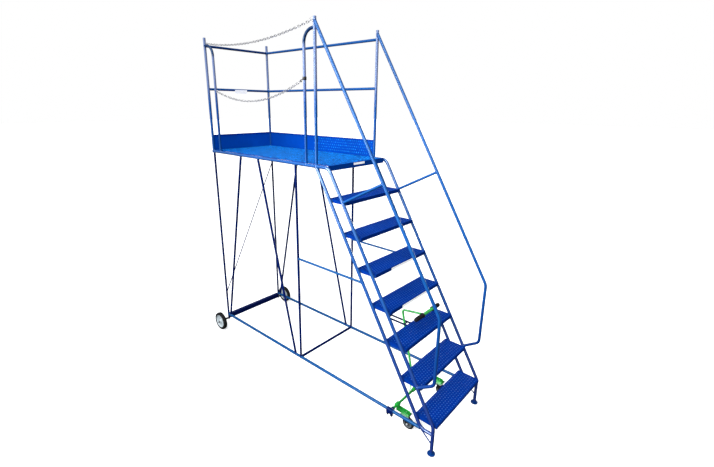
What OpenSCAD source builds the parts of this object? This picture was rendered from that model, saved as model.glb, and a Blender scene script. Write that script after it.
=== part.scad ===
// Mobile ladder stand: eight rises to a long platform, open on its left side,
// with rear wheels and a hand lever that lets two castors down under the front.
// Millimetres. X to the climber's right, Y in the direction of climbing, Z up.
// The floor is Z = 0. The lever is drawn forward, with the castors on the floor.

/* [Stair] */
// height of one rise
rise = 254; // [230:1:280]
// horizontal step from tread to tread
going = 150; // [140:1:180]
// width between the centres of the side tubes
stair_w = 732; // [600:2:900]
// depth of a tread from lip to lip
tread_d = 190; // [170:1:220]
// height of the lips and end plates of a tread
tread_lip = 28; // [20:1:40]

/* [Platform] */
// length of the platform from its front bend to the rear posts
deck_len = 1648; // [1200:4:2000]
// height of the top rail above the deck
rail_h = 982; // [900:2:1100]
// height of the middle rail above the deck
mid_h = 591; // [450:1:650]
// how far the posts stand above the top rail
post_over = 73; // [40:1:100]
// height of the toe boards
toe_h = 151; // [100:1:160]
// distance from the front bend back to the front posts
post_back = 127; // [100:1:200]
// gap between a post and the upright of its half hoop
hoop_gap = 124; // [90:1:160]

/* [Base] */
// distance from the front legs to the rear axle
base_len = 2700; // [2400:5:3000]
// clearance of the feet with the castors down
lift = 8; // [5:1:20]
// diameter of the rear wheels
wheel_d = 200; // [160:2:250]
// width of the rear wheels
wheel_w = 40; // [30:1:50]
// diameter of the castor wheels
castor_d = 100; // [80:1:125]

/* [Tubes] */
// outer diameter of the side frames, stringers and bottom rails
tube_d = 27; // [25:0.5:34]
// outer diameter of posts, rails and handrails
post_d = 25; // [20:0.5:30]
// outer diameter of the legs and diagonals
strut_d = 22; // [18:0.5:25]
// wall thickness of every tube
wall = 2; // [1.5:0.1:3]

/* [Lift] */
// length of the lever from the cross shaft up to its bend, in rises
lever_reach = 2.8425; // [2.6:0.0025:3]
// lean of the lever behind the vertical
lever_lean = 12.8; // [8:0.1:20]
// length of the cross handle
handle_len = 360; // [250:5:450]
// distance of the castors in from the side tubes
castor_in = 101; // [91:1:140]

/* [Hidden] */
$fn = 32;
gap = 0.2;
run = 0.05;
w2 = stair_w / 2;
deck_z = 8 * rise + lift;
beam_z = deck_z - tube_d / 2;
slope = going / rise;
foot_r = 30;
wheel_r = wheel_d / 2;
castor_r = castor_d / 2;
leg_y = foot_r - (base_len + wheel_r + foot_r) / 2;
axle_y = leg_y + base_len;
knee_z = 242;
top_y = leg_y + (deck_z - knee_z) * slope;
rear_y = top_y + deck_len;
post_y = top_y + post_back;
post_top = deck_z + rail_h + post_over;
rail_z = deck_z + rail_h;
mid_z = deck_z + mid_h;
in_x = w2 - tube_d / 2 - gap;
in_p = w2 - post_d / 2 - gap;
hoop_f = post_y + hoop_gap - 6;
hoop_b = rear_y - hoop_gap - 6;
hoop_r = 96;
back_off = 139;
rail_front_z = 180;
rail_back_z = 148;
rail_y0 = leg_y + 98;
axle_z = wheel_r;
axle_d = 16;
wheel_x = w2 + 104;
mid_y = top_y + 378;
diag_top_y = top_y + 899;
diag_low_y = top_y + 452;
strut_top_y = top_y + 1165;
strut_low_y = axle_y - 44;
tie_z = 1180;
tie_d = 19;
shaft_y = leg_y + 382;
shaft_z = 165;
shaft_d = 20;
rod_d = 18;
rod_x = -20;
castor_x = w2 - castor_in;
lever_len = lever_reach * rise;
lever_y = shaft_y + lever_len * sin(lever_lean);
lever_z = shaft_z + lever_len * cos(lever_lean);
handle_x = 30;
handle_y = lever_y - 204;
handle_z = lever_z + 33;
handle_d = 26;
grip_d = 36;
arm_z0 = castor_d + 22;
arm_z1 = arm_z0 + 28;
swivel_y = shaft_y - 85;
wheel_back = 27;
tread_h0 = 33;
hand_y = leg_y + 23;
hand_top_z = post_top - 26;
hand_knee_z = 1127;
hand_low_z = 598;
hand_end_z = 507;

// the stringer's centre line at a given height
function line_y(z) = top_y + (z - deck_z) * slope;
// the bottom rail's height at a given distance along the base
function base_z(y) = rail_front_z + (rail_back_z - rail_front_z) * (y - rail_y0) / (axle_y - rail_y0);
// the top of tread number i, counted down from the platform
function tread_z(i) = deck_z - i * rise;
function tread_y(i) = top_y - tread_h0 - i * going;

// one sub-part, or all of them

/* ---- shapes ---- */

// a solid round bar between two points
module rod(a, b, d) {
  v = b - a;
  len = norm(v);
  yaw = atan2(v[1], v[0]);
  tilt = acos(v[2] / len);
  translate(a) rotate([0, tilt, yaw]) cylinder(h = len, d = d);
}

// a round tube between two points, open at both ends
module pipe(a, b, d) {
  u = (b - a) / norm(b - a);
  difference() {
    rod(a, b, d);
    rod(a - u, b + u, d - 2 * wall);
  }
}

// a bar that runs on past both ends by e
module long_rod(a, b, d, e) {
  u = (b - a) / norm(b - a);
  rod(a - u * e, b + u * e, d);
}

// turn of a flat path at corner b, positive to the left
function turn(a, b, c) =
  let (u = b - a, v = c - b) atan2(u[0] * v[1] - u[1] * v[0], u[0] * v[0] + u[1] * v[1]);

// length that a bend of radius r takes from each side of its corner
function trim(a, b, c, r) = r * tan(abs(turn(a, b, c)) / 2);
function unit(v) = v / norm(v);
function left_of(v) = [-v[1], v[0]];

// the profile of a bar when w is 0, or of a tube of that wall
module profile(d, w) {
  difference() {
    circle(d = d, $fn = 32);
    if (w > 0) circle(d = d - 2 * w, $fn = 32);
  }
}

// walks from bend to bend: a straight length along X, a bend, then the rest from the bend's end.
// A bend is a hair thicker than its straights, which reach 1 mm into it.
lap = 1;
fat = 0.1;
module walk(runs, f, r, i, d, w) {
  x0 = i == 0 ? 0 : -lap;
  x1 = runs[i] + (i < len(f) ? lap : 0);
  translate([x0, 0, 0]) rotate([90, 0, 90]) linear_extrude(x1 - x0) profile(d, w);
  if (i < len(f)) translate([runs[i], 0, 0]) {
    s = f[i] > 0 ? 1 : -1;
    translate([0, s * r[i], 0]) {
      rotate([0, 0, s > 0 ? -90 : 90 + f[i]]) rotate_extrude(angle = abs(f[i]), $fn = 96)
        translate([r[i], 0]) profile(d + fat, w > 0 ? w + fat : 0);
      rotate([0, 0, f[i]]) translate([0, -s * r[i], 0]) walk(runs, f, r, i + 1, d, w);
    }
  }
}

// a bar in a flat path through the points p, with bend radius r at each inner point
module flat_bar(p, r, d, w) {
  n = len(p);
  cut = [for (i = [0 : n - 1]) i == 0 || i == n - 1 ? 0 : trim(p[i - 1], p[i], p[i + 1], r[i])];
  f = [for (i = [1 : n - 2]) turn(p[i - 1], p[i], p[i + 1])];
  runs = [for (i = [0 : n - 2]) norm(p[i + 1] - p[i]) - cut[i] - cut[i + 1]];
  bends = [for (i = [1 : n - 2]) r[i]];
  u = p[1] - p[0];
  translate([p[0][0], p[0][1], 0]) rotate([0, 0, atan2(u[1], u[0])]) walk(runs, f, bends, 0, d, w);
}

// puts a flat path of (Y, Z) points in the plane at x
module in_side(x) {
  translate([x, 0, 0]) rotate([90, 0, 90]) children();
}

// a bent tube in the plane at x
module bent_tube(x, p, r, d) {
  in_side(x) flat_bar(p, r, d, wall);
}

/* ---- paths that several parts share ---- */

side_path = [[rear_y + tube_d / 2, beam_z], [line_y(beam_z), beam_z], [leg_y, knee_z], [leg_y, lift + 5 + gap]];
side_bend = [0, 70, 80, 0];
back_path = [[line_y(beam_z) + back_off, beam_z], [line_y(rail_front_z) + back_off, rail_front_z], [leg_y, rail_front_z]];
back_bend = [0, 60, 0];
hand_path = [[post_y, hand_top_z], [hand_y, hand_knee_z], [hand_y, hand_low_z], [line_y(hand_end_z), hand_end_z]];
hand_bend = [0, 90, 55, 0];

module side_solid(s, d) {
  in_side(s * w2) flat_bar(side_path, side_bend, d, 0);
}
module back_solid(s, d) {
  in_side(s * w2) flat_bar(back_path, back_bend, d, 0);
}
module beam_rod(s) {
  rod([s * w2, line_y(beam_z) + 20, beam_z], [s * w2, rear_y + 30, beam_z], tube_d + 2 * gap);
}
module front_line_rod(s) {
  rod([s * w2, line_y(beam_z - 100), beam_z - 100], [s * w2, line_y(knee_z + 60), knee_z + 60], tube_d + 2 * gap);
}
module back_line_rod(s) {
  rod([s * w2, line_y(beam_z) + back_off, beam_z], [s * w2, line_y(rail_front_z + 60) + back_off, rail_front_z + 60], tube_d + 2 * gap);
}
module base_rod(s, d) {
  long_rod([s * w2, rail_y0, rail_front_z], [s * w2, axle_y, rail_back_z], d, 0);
}
module rear_leg_rod(s, d) {
  rod([s * w2, rear_y - 9, beam_z], [s * w2, axle_y, axle_z - 14], d);
}
module post_rod(x, y, d) {
  rod([x, y, deck_z - 30], [x, y, post_top + 30], d);
}

/* ---- frame ---- */

module side_frame(s) {
  color([0.02, 0.16, 0.62]) bent_tube(s * w2, side_path, side_bend, tube_d);
}
module side_frame_left() { side_frame(-1); }
module side_frame_right() { side_frame(1); }

module rear_stringer(s) {
  color([0.02, 0.16, 0.62]) difference() {
    bent_tube(s * w2, back_path, back_bend, tube_d);
    beam_rod(s);
    rod([s * w2, line_y(beam_z) - 60, beam_z], [s * w2, rear_y, beam_z], tube_d + 2 * gap);
    rod([s * w2, leg_y, lift], [s * w2, leg_y, knee_z], tube_d + 2 * gap);
  }
}
module rear_stringer_left() { rear_stringer(-1); }
module rear_stringer_right() { rear_stringer(1); }

// half the length of the box section between the rear legs
box_b = w2 - strut_d / 2 - gap;

// the rail ends against the bend of the rear stringer and against the rear leg
module bottom_rail(s) {
  color([0.02, 0.16, 0.62]) difference() {
    pipe([s * w2, rail_y0 + 8, base_z(rail_y0 + 8)], [s * w2, axle_y, rail_back_z], tube_d);
    back_solid(s, tube_d + 2 * gap);
    rear_leg_rod(s, strut_d + 2 * gap);
    translate([s * w2 - 50, axle_y - strut_d / 2, 60]) cube([100, 100, 200]);
    translate([s * w2 - 50, rail_y0 - 100, 60]) cube([100, 90, 200]);
    translate([-box_b - gap, axle_y - 20 - gap, 60]) cube([2 * box_b + 2 * gap, 60, 200]);
  }
}
module bottom_rail_left() { bottom_rail(-1); }
module bottom_rail_right() { bottom_rail(1); }

deck_y0 = line_y(beam_z) + 18;
deck_y1 = rear_y - tube_d / 2 - gap;
module deck_plate() {
  color([0.03, 0.28, 0.85]) union() {
    translate([-in_x, deck_y0, deck_z - 2]) cube([2 * in_x, deck_y1 - deck_y0, 2]);
    translate([-in_x, deck_y0, deck_z - 42]) cube([2 * in_x, 2, 42]);
    translate([-in_x, deck_y1 - 2, deck_z - 25]) cube([2 * in_x, 2, 25]);
    for (k = [1 : 3])
      translate([-in_x, deck_y0 + k * (deck_y1 - deck_y0) / 4, deck_z - 32]) cube([2 * in_x, 25, 31]);
  }
}

module deck_rear_beam() {
  color([0.02, 0.16, 0.62]) difference() {
    pipe([-in_x, rear_y, beam_z], [in_x, rear_y, beam_z], tube_d);
    for (s = [-1, 1]) beam_rod(s);
  }
}

module toe_board_rear() {
  color([0.03, 0.28, 0.85]) union() {
    translate([-in_p, rear_y - 1, deck_z + gap]) cube([2 * in_p, 2, toe_h]);
    translate([-in_p, rear_y - 11, deck_z + toe_h - 2]) cube([2 * in_p, 11, 2]);
  }
}
module toe_board_right() {
  y0 = post_y + post_d / 2 + gap;
  y1 = rear_y - post_d / 2 - gap;
  color([0.03, 0.28, 0.85]) union() {
    translate([w2 - 1, y0, deck_z + gap]) cube([2, y1 - y0, toe_h]);
    translate([w2 - 11, y0, deck_z + toe_h - 2]) cube([11, y1 - y0, 2]);
  }
}

// a guard post with a domed end, standing on the side frame
module post(x, y) {
  color([0.02, 0.2, 0.7]) difference() {
    union() {
      pipe([x, y, deck_z - 8], [x, y, post_top - 4], post_d);
      translate([x, y, post_top - 4]) cylinder(h = 3, d = post_d);
      translate([x, y, post_top - 1]) cylinder(h = 1, d = post_d - 4);
    }
    rod([x, y - 60, beam_z], [x, y + 60, beam_z], tube_d + 2 * gap);
  }
}
module post_rear_left() { post(-w2, rear_y); }
module post_rear_right() { post(w2, rear_y); }
module post_front_left() { post(-w2, post_y); }
module post_front_right() { post(w2, post_y); }

// a rail across the back, coped round the posts and round what meets them on the listed sides
module cross_rail(z, sides) {
  color([0.02, 0.2, 0.7]) difference() {
    pipe([-w2 + 1, rear_y, z], [w2 - 1, rear_y, z], post_d - 2);
    for (s = [-1, 1]) post_rod(s * w2, rear_y, post_d + 2 * gap);
    for (s = sides) rod([s * w2, rear_y - 60, z], [s * w2, rear_y, z], post_d - 2 + 2 * gap);
  }
}
module top_rail_rear() { cross_rail(rail_z, [-1, 1]); }
module mid_rail_rear() { cross_rail(mid_z, [1]); }

module side_rail(z) {
  color([0.02, 0.2, 0.7]) difference() {
    pipe([w2, post_y + 1, z], [w2, rear_y - 1, z], post_d - 2);
    for (y = [post_y, rear_y]) post_rod(w2, y, post_d + 2 * gap);
  }
}
module top_rail_right() { side_rail(rail_z); }
module mid_rail_right() { side_rail(mid_z); }

// a half hoop beside an open post: upright, quarter bend, and into the post
module hoop(y, post) {
  color([0.02, 0.2, 0.7]) difference() {
    bent_tube(-w2, [[y, beam_z], [y, rail_z], [post, rail_z]], [0, hoop_r, 0], post_d - 2);
    rod([-w2, y - 60, beam_z], [-w2, y + 60, beam_z], tube_d + 2 * gap);
    post_rod(-w2, post, post_d + 2 * gap);
  }
}
module hoop_front() { hoop(hoop_f, post_y); }
module hoop_rear() { hoop(hoop_b, rear_y); }

module handrail(s) {
  color([0.02, 0.2, 0.7]) difference() {
    bent_tube(s * w2, hand_path, hand_bend, post_d - 1);
    post_rod(s * w2, post_y, post_d + 2 * gap);
    translate([s * w2 - 30, post_y, hand_top_z - 60]) cube([60, 60, 120]);
    front_line_rod(s);
  }
}
module handrail_left() { handrail(-1); }
module handrail_right() { handrail(1); }

// a short tube square to the stringer, level with the first tread
brace_z0 = deck_z - rise - 8;
brace_t = 0.43;
module handrail_brace(s) {
  hp0 = [s * w2, post_y, hand_top_z];
  hp1 = [s * w2, hand_y, hand_knee_z];
  far = hp0 + (hp1 - hp0) * ((hand_top_z - brace_z0 - 196) / (hand_top_z - hand_knee_z));
  color([0.02, 0.2, 0.7]) difference() {
    pipe([s * w2, line_y(brace_z0), brace_z0], far, post_d - 4);
    front_line_rod(s);
    rod(hp0, hp1, post_d - 1 + 2 * gap);
  }
}
module handrail_brace_left() { handrail_brace(-1); }
module handrail_brace_right() { handrail_brace(1); }

// one folded tread: a top sheet with a lip all round, between the side tubes
module tread(i) {
  z = tread_z(i);
  y = tread_y(i);
  color([0, 0.19, 0.66]) union() {
    translate([-in_x, y, z - 2]) cube([2 * in_x, tread_d, 2]);
    translate([-in_x, y, z - tread_lip]) cube([2 * in_x, 2, tread_lip]);
    translate([-in_x, y + tread_d - 2, z - tread_lip]) cube([2 * in_x, 2, tread_lip]);
    translate([-in_x, y, z - tread_lip]) cube([2, tread_d, tread_lip]);
    translate([in_x - 2, y, z - tread_lip]) cube([2, tread_d, tread_lip]);
  }
}
module tread_1() { tread(1); }
module tread_2() { tread(2); }
module tread_3() { tread(3); }
module tread_4() { tread(4); }
module tread_5() { tread(5); }
module tread_6() { tread(6); }
module tread_7() { tread(7); }

// the rear leg, the raking strut, the diagonal and the middle leg of one side
module side_legs(s) {
  x = s * w2;
  color([0.01, 0.08, 0.42]) {
    difference() {
      pipe([x, rear_y - 9, beam_z], [x, axle_y, axle_z - 14], strut_d);
      beam_rod(s);
      rod([x - 40, axle_y, axle_z], [x + 40, axle_y, axle_z], axle_d + 2 * gap);
    }
    difference() {
      pipe([x, strut_top_y, beam_z], [x, strut_low_y, base_z(strut_low_y)], strut_d);
      beam_rod(s);
      base_rod(s, tube_d + 2 * gap);
      rear_leg_rod(s, strut_d + 2 * gap);
    }
    difference() {
      pipe([x, diag_top_y, beam_z], [x, diag_low_y, base_z(diag_low_y)], strut_d);
      beam_rod(s);
      base_rod(s, tube_d + 2 * gap);
    }
    difference() {
      pipe([x, mid_y, beam_z], [x, mid_y, base_z(mid_y)], strut_d);
      beam_rod(s);
      base_rod(s, tube_d + 2 * gap);
    }
  }
}
module side_legs_left() { side_legs(-1); }
module side_legs_right() { side_legs(1); }

// the thin diagonal in the rear plane, from leg to leg
module rear_brace() {
  y0 = axle_y - (axle_y - rear_y + 9) * 0.2;
  y1 = axle_y - (axle_y - rear_y + 9) * 0.9;
  color([0.01, 0.08, 0.42]) difference() {
    rod([-w2, y0, 425], [w2, y1, 1848], 10);
    for (s = [-1, 1]) rear_leg_rod(s, strut_d + 2 * gap);
  }
}

module side_tie(s) {
  x = s * w2;
  color([0.01, 0.08, 0.42]) difference() {
    pipe([x, mid_y, tie_z], [x, line_y(tie_z) + back_off, tie_z], tie_d);
    back_line_rod(s);
    rod([x, mid_y, tie_z - 60], [x, mid_y, tie_z + 60], strut_d + 2 * gap);
  }
}
module side_tie_left() { side_tie(-1); }
module side_tie_right() { side_tie(1); }

// the box section between the rear legs
module axle_box() {
  b = box_b;
  color([0.01, 0.08, 0.42]) difference() {
    translate([-b, axle_y - 20, axle_z + 1]) cube([2 * b, 40, 50]);
    translate([-b - 1, axle_y - 20 + wall, axle_z + 1 + wall]) cube([2 * b + 2, 40 - 2 * wall, 50 - 2 * wall]);
  }
}

// a stub axle through the foot of each rear leg, with its end collar
module axle_stubs() {
  color([0.03, 0.03, 0.035])
    for (s = [-1, 1]) {
      x0 = s * (w2 - strut_d / 2 + 0.5);
      x1 = s * (wheel_x + wheel_w / 2 + 3);
      rod([x0, axle_y, axle_z], [x1 + s * 2, axle_y, axle_z], axle_d);
      rod([x1 - s * 1, axle_y, axle_z], [x1 + s * 4, axle_y, axle_z], axle_d + 8);
      rod([s * (wheel_x - wheel_w / 2 - 8), axle_y, axle_z], [s * (wheel_x - wheel_w / 2 - 2), axle_y, axle_z], axle_d + 8);
    }
}

module base_bar() {
  b = w2 - tube_d / 2 - gap;
  z = base_z(mid_y);
  color([0.02, 0.16, 0.62]) difference() {
    pipe([-w2 + 1, mid_y, z], [w2 - 1, mid_y, z], post_d);
    for (s = [-1, 1]) {
      base_rod(s, tube_d + 2 * gap);
      rod([s * w2, mid_y, z], [s * w2, mid_y, z + 80], strut_d + 2 * gap);
      translate([s * w2 - 20 + s * 20, mid_y - 40, z - 40]) cube([40, 80, 80]);
    }
  }
}

// a disc foot under the leg with the short stay that braces the leg
module foot(s) {
  x = s * w2;
  color([0.02, 0.16, 0.62]) {
    translate([x, leg_y, lift]) cylinder(h = 5, r = foot_r);
    difference() {
      translate([x, leg_y, lift + 5]) cylinder(h = 13, d = tube_d + 5);
      translate([x, leg_y, lift + 4]) cylinder(h = 30, d = tube_d + 2 * gap);
    }
    difference() {
      rod([x, leg_y + 98, rail_front_z - 8], [x, leg_y, 88], 10);
      rod([x, leg_y, lift], [x, leg_y, knee_z], tube_d + 2 * gap);
      back_solid(s, tube_d + 2 * gap);
      base_rod(s, tube_d + 2 * gap);
      translate([x - 20, leg_y + 70, rail_front_z]) cube([40, 80, 40]);
    }
  }
}
module foot_left() { foot(-1); }
module foot_right() { foot(1); }

// two flat bars behind the fifth tread, with a cross link at each end of the lever's slot
guide_z = tread_z(5) - 12;
guide_y0 = tread_y(5) + tread_d + gap;
function rod_y(z, lean) = shaft_y + (z - shaft_z) * tan(lean);
stop_front = rod_y(guide_z, lever_lean) - rod_d / 2 - 3;
stop_rear = rod_y(guide_z, lever_lean + 11.5) + rod_d / 2 + 6;
module lever_guide() {
  color([0.015, 0.02, 0.09]) union() {
    for (s = [-1, 1])
      translate([rod_x + s * 27 - 3, guide_y0, guide_z - 7]) cube([6, stop_rear + 6 - guide_y0, 14]);
    translate([rod_x - 28, stop_front - 5, guide_z - 7]) cube([56, 5, 14]);
    translate([rod_x - 28, stop_rear, guide_z - 7]) cube([56, 6, 14]);
  }
}

// a clamp round the bottom rail with a bearing sleeve for the cross shaft on its inner side
clamp_l = 56;
module shaft_bracket(s) {
  x = s * w2;
  zr = base_z(shaft_y);
  difference() {
    union() {
      rod([x, shaft_y - clamp_l / 2, zr], [x, shaft_y + clamp_l / 2, zr], tube_d + 9);
      translate([x - tube_d / 2 - 4.5, shaft_y - clamp_l / 2, zr - tube_d / 2 - 12]) cube([tube_d + 9, clamp_l, tube_d / 2 + 12]);
      rod([s * (w2 - tube_d / 2), shaft_y, shaft_z], [s * (w2 - tube_d / 2 - 24), shaft_y, shaft_z], shaft_d + 12);
    }
    base_rod(s, tube_d + 2 * gap);
    rod([s * (w2 - tube_d / 2 - 5), shaft_y, shaft_z], [s * (w2 - 60), shaft_y, shaft_z], shaft_d + 2 * run);
  }
}
module shaft_brackets() {
  color([0.02, 0.14, 0.5]) for (s = [-1, 1]) shaft_bracket(s);
}

module bracket_bolts() {
  zr = base_z(shaft_y) - tube_d / 2 - 12 - gap;
  color([0.02, 0.02, 0.02])
    for (s = [-1, 1]) for (k = [-1, 1])
      translate([s * (w2 + 9), shaft_y + k * 19, zr]) {
        translate([0, 0, -13]) cylinder(h = 13, d = 24, $fn = 6);
        translate([0, 0, -24]) cylinder(h = 11.5, d = 12);
      }
}

/* ---- lift mechanism ---- */

shaft_end = w2 - tube_d / 2 - 6;
module cross_shaft() {
  color([0.03, 0.35, 0.12]) union() {
    rod([-shaft_end, shaft_y, shaft_z], [shaft_end, shaft_y, shaft_z], shaft_d);
    for (s = [-1, 1])
      rod([s * (w2 - tube_d / 2 - 26), shaft_y, shaft_z], [s * (w2 - tube_d / 2 - 32), shaft_y, shaft_z], shaft_d + 10);
  }
}

// an upturned channel from the shaft out over the castor
arm_w = 34;
module castor_arm(s) {
  x = s * castor_x;
  y0 = swivel_y - 36;
  color([0.05, 0.6, 0.2]) difference() {
    union() {
      translate([x - arm_w / 2, y0, arm_z0]) cube([arm_w, shaft_y - y0, arm_z1 - arm_z0]);
      rod([x - arm_w / 2, shaft_y, shaft_z], [x + arm_w / 2, shaft_y, shaft_z], shaft_d + 18);
    }
    translate([x - arm_w / 2 + 4, y0 + 4, arm_z0 + 4]) cube([arm_w - 8, shaft_y - y0 - 30, arm_z1 - arm_z0]);
    translate([x - arm_w / 2 - 1, y0, arm_z1]) rotate([0, 90, 0]) cylinder(h = arm_w + 2, r = 12);
    rod([x - 60, shaft_y, shaft_z], [x + 60, shaft_y, shaft_z], shaft_d + 2 * gap);
  }
}
module castor_arm_left() { castor_arm(-1); }
module castor_arm_right() { castor_arm(1); }

// the lever rod with its gusset stays at the shaft and its cross handle at the top
module lift_lever() {
  color([0.05, 0.6, 0.2]) {
    difference() {
      union() {
        in_side(rod_x) flat_bar([[shaft_y, shaft_z], [lever_y, lever_z], [handle_y, handle_z]], [0, 24, 0], rod_d, 0);
        rod([rod_x - 22, shaft_y, shaft_z], [rod_x + 22, shaft_y, shaft_z], shaft_d + 12);
        for (s = [-1, 1])
          rod([rod_x + s * 72, shaft_y, shaft_z], [rod_x, rod_y(shaft_z + 120, lever_lean), shaft_z + 120], 8);
      }
      rod([-w2, shaft_y, shaft_z], [w2, shaft_y, shaft_z], shaft_d + 2 * gap);
      rod([-w2, handle_y, handle_z], [w2, handle_y, handle_z], handle_d + 2 * gap);
    }
    difference() {
      rod([handle_x - handle_len / 2 + 6, handle_y, handle_z], [handle_x + handle_len / 2 - 6, handle_y, handle_z], handle_d);
      rod([handle_x - handle_len / 2 - 6, handle_y, handle_z], [handle_x + handle_len / 2 + 6, handle_y, handle_z], handle_d - 2 * wall);
    }
  }
}

// rubber grips pushed over the ends of the cross handle
grip_l = 112;
grip_r = 107;
module grip(a, b) {
  s = b > a ? 1 : -1;
  difference() {
    union() {
      rod([a, handle_y, handle_z], [b - s * 6, handle_y, handle_z], grip_d);
      rod([b - s * 6.5, handle_y, handle_z], [b, handle_y, handle_z], grip_d - 8);
      rod([a, handle_y, handle_z], [a + s * 5, handle_y, handle_z], grip_d + 6);
    }
    rod([a - s, handle_y, handle_z], [b - s * 5.5, handle_y, handle_z], handle_d + 2 * run);
  }
}
module lever_grips() {
  color([0.02, 0.02, 0.02]) {
    grip(handle_x - handle_len / 2 + grip_l, handle_x - handle_len / 2);
    grip(handle_x + handle_len / 2 - grip_r, handle_x + handle_len / 2);
  }
}

/* ---- castors ---- */

module castor_plates() {
  color([0.7, 0.72, 0.74])
    for (s = [-1, 1]) {
      translate([s * castor_x - 38, swivel_y - 38, arm_z0 - 4 - gap]) cube([76, 76, 4]);
      translate([s * castor_x, swivel_y, arm_z0 - 9 - gap]) cylinder(h = 5.5, r = 26);
    }
}

fork_top = arm_z0 - 9 - gap - 0.4;
fork_in = 17;
module castor_fork(s) {
  x = s * castor_x;
  wy = swivel_y - wheel_back;
  color([0.05, 0.05, 0.055]) union() {
    translate([x, swivel_y, fork_top - 3]) cylinder(h = 3, r = 27);
    translate([x - fork_in - 3, swivel_y - 24, fork_top - 5]) cube([2 * fork_in + 6, 46, 3.5]);
    for (k = [-1, 1])
      translate([x + k * (fork_in + 1.5) - 1.5, 0, 0]) rotate([90, 0, 90])
        linear_extrude(3) polygon([[swivel_y - 24, fork_top - 2], [swivel_y + 22, fork_top - 2],
          [wy + 14, castor_r - 8], [wy, castor_r - 14], [wy - 13, castor_r - 6]]);
    rod([x - fork_in - 7, wy, castor_r], [x + fork_in + 7, wy, castor_r], 10);
  }
}
module castor_fork_left() { castor_fork(-1); }
module castor_fork_right() { castor_fork(1); }

module castor_wheel(s) {
  x = s * castor_x;
  wy = swivel_y - wheel_back;
  color([0.03, 0.03, 0.03]) difference() {
    union() {
      rod([x - 13, wy, castor_r], [x + 13, wy, castor_r], castor_d);
      rod([x - 16, wy, castor_r], [x + 16, wy, castor_r], 28);
    }
    rod([x - 30, wy, castor_r], [x + 30, wy, castor_r], 10 + 2 * run);
  }
}
module castor_wheel_left() { castor_wheel(-1); }
module castor_wheel_right() { castor_wheel(1); }

/* ---- rear wheels ---- */

rim_r = wheel_r - 27;
module ring_at(s, pts) {
  translate([s * wheel_x, axle_y, axle_z]) rotate([0, 90, 0]) rotate_extrude($fn = 96) polygon(pts);
}
module wheel_tyre(s) {
  h = wheel_w / 2;
  color([0.03, 0.03, 0.03])
    ring_at(s, [[rim_r + gap, -h + 4], [rim_r + 9, -h], [wheel_r - 8, -h + 1], [wheel_r - 1.5, -h + 9], [wheel_r, -h + 14],
      [wheel_r, h - 14], [wheel_r - 1.5, h - 9], [wheel_r - 8, h - 1], [rim_r + 9, h], [rim_r + gap, h - 4]]);
}
module wheel_tyre_left() { wheel_tyre(-1); }
module wheel_tyre_right() { wheel_tyre(1); }

module wheel_rim(s) {
  h = wheel_w / 2;
  b = axle_d / 2 + run;
  color([0.78, 0.82, 0.86])
    ring_at(s, [[b, -h], [b + 10, -h], [b + 12, -4], [rim_r - 12, -4], [rim_r - 6, -h + 3], [rim_r, -h + 3],
      [rim_r, h - 3], [rim_r - 6, h - 3], [rim_r - 12, 4], [b + 12, 4], [b + 10, h], [b, h]]);
}
module wheel_rim_left() { wheel_rim(-1); }
module wheel_rim_right() { wheel_rim(1); }

/* ---- chains ---- */

// height of a hanging line between two ends, sagging below the straight line
function hang(a, b, sag, t) = [a[0] + (b[0] - a[0]) * t, a[1] + (b[1] - a[1]) * t - 4 * sag * t * (1 - t)];
function hang_dir(a, b, sag, t) = unit([b[0] - a[0], b[1] - a[1] - 4 * sag * (1 - 2 * t)]);

// an eight-sided bar along the hanging line, one ring to each of n steps
module hung(a, b, sag, d) {
  n = 24;
  k = 8;
  pts = [for (i = [0 : n]) for (j = [0 : k - 1])
    let (p = hang(a, b, sag, i / n), u = hang_dir(a, b, sag, i / n), q = 360 * j / k)
      [-w2 + d / 2 * sin(q), p[0] - u[1] * d / 2 * cos(q), p[1] + u[0] * d / 2 * cos(q)]];
  sides = [for (i = [0 : n - 1]) for (j = [0 : k - 1])
    [i * k + j, i * k + (j + 1) % k, (i + 1) * k + (j + 1) % k, (i + 1) * k + j]];
  ends = [[for (j = [k - 1 : -1 : 0]) j], [for (j = [0 : k - 1]) n * k + j]];
  polyhedron(points = pts, faces = concat(sides, ends));
}
chain_d = 6;
chain_top_z = post_top - 50;
module guard_chains() {
  c = post_d / 2 + 1;
  color([0.8, 0.82, 0.85]) {
    hung([rear_y - c, chain_top_z], [post_y + c, post_top - 6], 68, chain_d);
    hung([hoop_b - c, mid_z - 20], [hoop_f + c, mid_z + 52], 122, chain_d);
  }
}

side_frame_left();
side_frame_right();
rear_stringer_left();
rear_stringer_right();
bottom_rail_left();
bottom_rail_right();
deck_plate();
deck_rear_beam();
toe_board_rear();
toe_board_right();
post_rear_left();
post_rear_right();
post_front_left();
post_front_right();
top_rail_rear();
mid_rail_rear();
top_rail_right();
mid_rail_right();
hoop_front();
hoop_rear();
handrail_left();
handrail_right();
handrail_brace_left();
handrail_brace_right();
tread_1();
tread_2();
tread_3();
tread_4();
tread_5();
tread_6();
tread_7();
side_legs_left();
side_legs_right();
rear_brace();
side_tie_left();
side_tie_right();
axle_box();
axle_stubs();
base_bar();
foot_left();
foot_right();
lever_guide();
shaft_brackets();
bracket_bolts();
cross_shaft();
castor_arm_left();
castor_arm_right();
lift_lever();
lever_grips();
castor_plates();
castor_fork_left();
castor_fork_right();
castor_wheel_left();
castor_wheel_right();
wheel_tyre_left();
wheel_tyre_right();
wheel_rim_left();
wheel_rim_right();
guard_chains();
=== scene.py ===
"""Looks of the mobile ladder stand: paint, studs, welds, chain links, wheels, castors, grips and labels.

Every length is in metres, in the part's own frame: X to the climber's right, Y in the direction
of climbing, Z up, floor at Z = 0.
"""

import math
import random

import bpy
from mathutils import Matrix, Vector


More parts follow.
